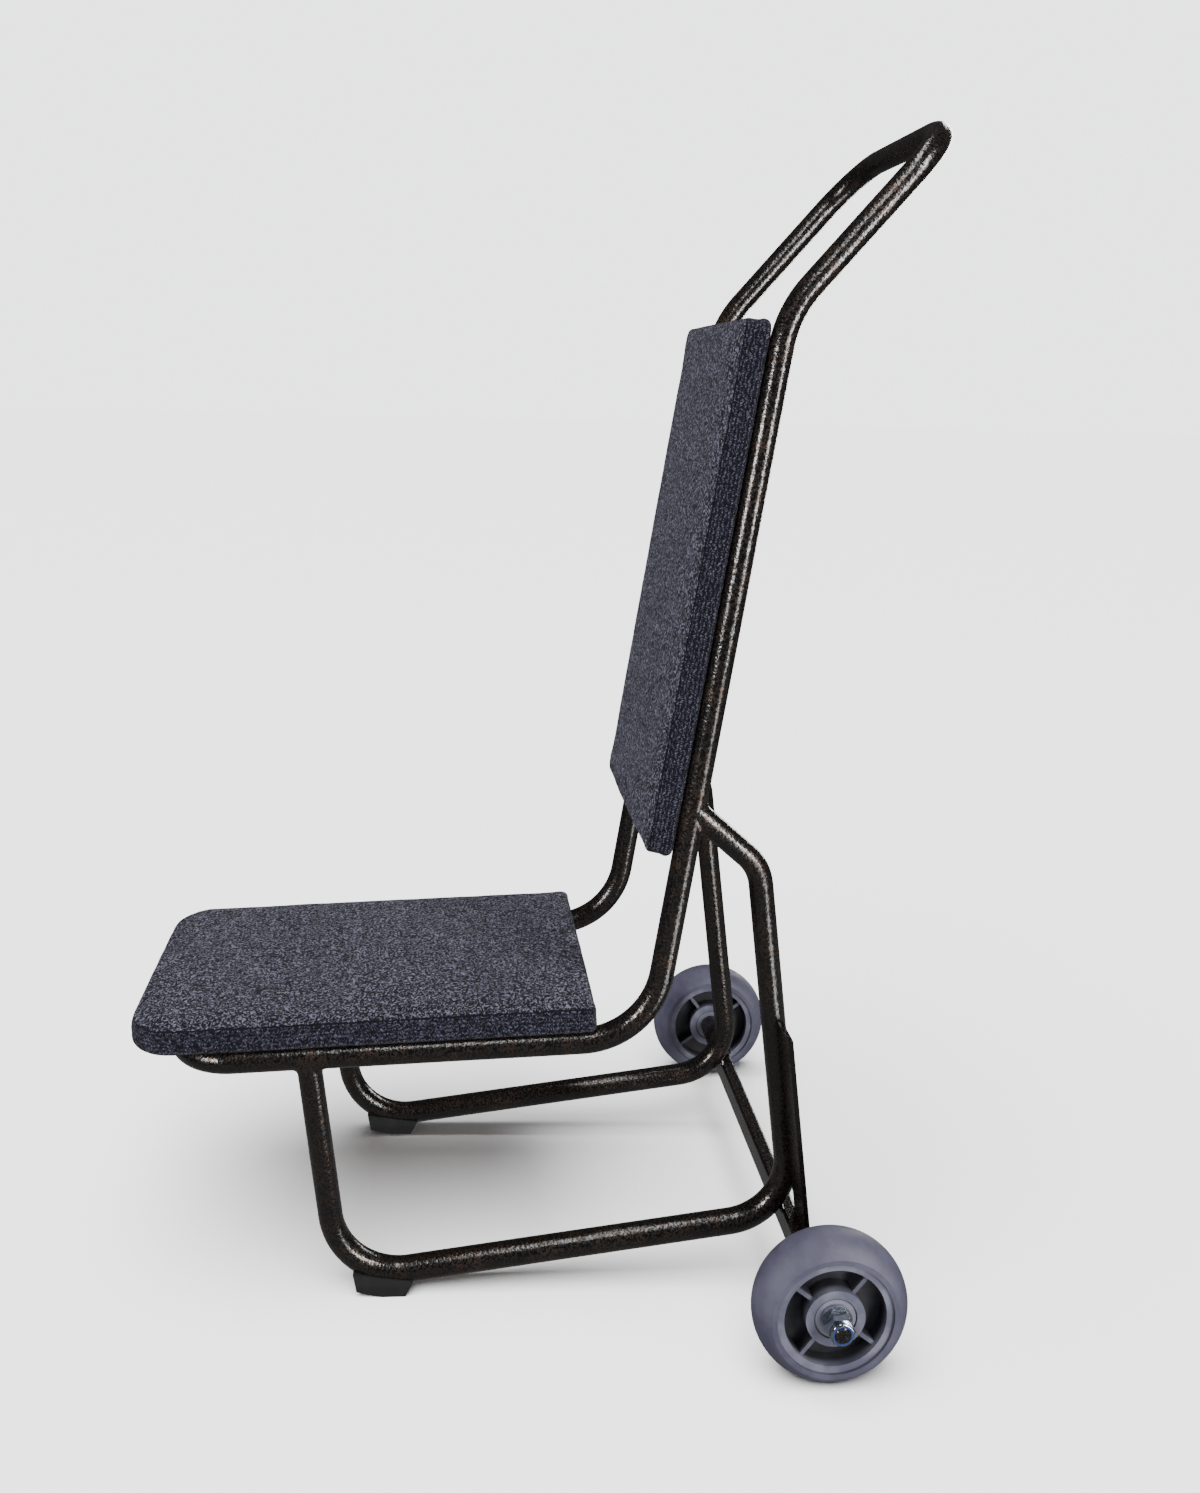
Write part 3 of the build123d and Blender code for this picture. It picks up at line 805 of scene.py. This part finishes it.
# a lamp gives its place, aim, width and height in metres, watts, and what it lights: matt surfaces,
# gloss or both; flat bars would mirror a whole strip lamp and pass for bare steel, so the lamps named
# in "flatBlind" leave them out
studio = {
    "floor": (0.90, 0.90, 0.91), "floorRough": 0.82, "fleck": (40, 3), "fleckRough": 0.1, "reach": 30.0,
    "sky": (0.97, 0.98, 1.0), "skyLight": 0.24, "skySeen": 3.0, "skyGloss": 0.06,
    "sun": ((1.2, -0.8, 4.5), (0.0, 0.0, 0.55), 10.6, 60),
    "flats": ("back_straps", "left_side_plate", "right_side_plate"), "flatBlind": ("rear", "low", "farRear"),
    "lamps": {
        "rear": ((1.70, 1.45, 1.25), (0.0, 0.0, 0.55), (0.42, 2.2), 105, "both"),
        "above": ((0.65, -0.10, 2.60), (0.0, 0.0, 0.55), (0.26, 2.4), 34, "both"),
        "front": ((0.15, -2.20, 1.25), (0.0, 0.0, 0.55), (0.32, 2.2), 88, "matt"),
        "fill": ((2.20, -0.40, 0.50), (0.0, 0.0, 0.55), (1.2, 1.0), 36, "matt"),
        "bounce": ((0.30, 0.10, 0.005), (0.30, 0.11, 1.0), (3.0, 3.0), 15, "matt"),
        "spark": ((1.61, -1.86, 1.05), (0.0, 0.0, 0.55), (0.6, 0.5), 55, "gloss"),
        "low": ((1.24, 0.97, 0.01), (1.07, 0.865, 1.0), (0.35, 1.5), 15, "gloss"),
        "sheen": ((0.90, 0.30, 0.006), (0.90, 0.31, 1.0), (2.4, 2.4), 3, "gloss"),
        "farRear": ((-1.60, 1.60, 1.30), (0.0, 0.0, 0.55), (0.40, 2.2), 42, "both"),
        "farFront": ((-1.80, -1.30, 1.50), (0.0, 0.0, 0.55), (0.40, 2.0), 40, "matt"),
    },
}


def lightList(name, pieces, state):
    # a lamp with this list leaves the pieces out, or lights nothing else
    group = bpy.data.collections.new(name)
    for piece in pieces:
        group.objects.link(piece)
    for entry in group.collection_objects:
        entry.light_linking.link_state = state
    return group


def addLamp(name, kind, place, aim, power, receivers):
    light = bpy.data.lights.new(name, kind)
    light.energy = power
    lamp = bpy.data.objects.new(name, light)
    bpy.context.scene.collection.objects.link(lamp)
    lamp.location = place
    lamp.rotation_euler = (Vector(aim) - Vector(place)).to_track_quat("-Z", "Y").to_euler()
    lamp.light_linking.receiver_collection = receivers
    return lamp


def addStudio():
    reach = studio["reach"]
    mesh = bpy.data.meshes.new("floor")
    corners = [(-reach, -reach, 0), (reach, -reach, 0), (reach, reach, 0), (-reach, reach, 0)]
    mesh.from_pydata(corners, [], [(0, 1, 2, 3)])
    paper = Finish(bpy.data.materials.new("palePaper"))
    dull = studio["floorRough"] + paper.noise(paper.place(), *studio["fleck"]) * studio["fleckRough"]
    mesh.materials.append(paper.surface({"Base Color": studio["floor"], "Roughness": dull}))
    floor = bpy.data.objects.new("floor", mesh)
    bpy.context.scene.collection.objects.link(floor)
    floor.visible_glossy = floor.visible_diffuse = False  # keeps the paint and the wheels dark underneath
    sky = Finish(bpy.data.worlds.new("studio"))
    seen = sky.add("ShaderNodeLightPath", output="Is Camera Ray")
    glossy = sky.add("ShaderNodeLightPath", output="Is Glossy Ray")
    strength = studio["skyLight"] + seen * (studio["skySeen"] - studio["skyLight"])
    strength = strength + glossy * (studio["skyGloss"] - studio["skyLight"])
    light = sky.add("ShaderNodeBackground", None, {"Color": (*studio["sky"], 1), "Strength": strength})
    sky.add("ShaderNodeOutputWorld", None, {"Surface": light})
    bpy.context.scene.world = sky.owner
    place, aim, power, angle = studio["sun"]
    sun = addLamp("sun", "SUN", place, aim, power, lightList("floorOnly", [floor], "INCLUDE"))
    sun.data.angle = math.radians(angle)
    offFloor = lightList("offFloor", [floor], "EXCLUDE")
    flats = [frame["nodes"][name] for name in studio["flats"]]
    offFlats = lightList("offFlats", [floor, *flats], "EXCLUDE")
    for name, (place, aim, size, power, surfaces) in studio["lamps"].items():
        receivers = offFlats if name in studio["flatBlind"] else offFloor
        lamp = addLamp(name, "AREA", place, aim, power, receivers)
        lamp.data.shape = "RECTANGLE"
        lamp.data.size, lamp.data.size_y = size
        lamp.visible_glossy = surfaces != "matt"
        lamp.visible_diffuse = surfaces != "gloss"


addCamera()
addStudio()
print("camera and studio set")
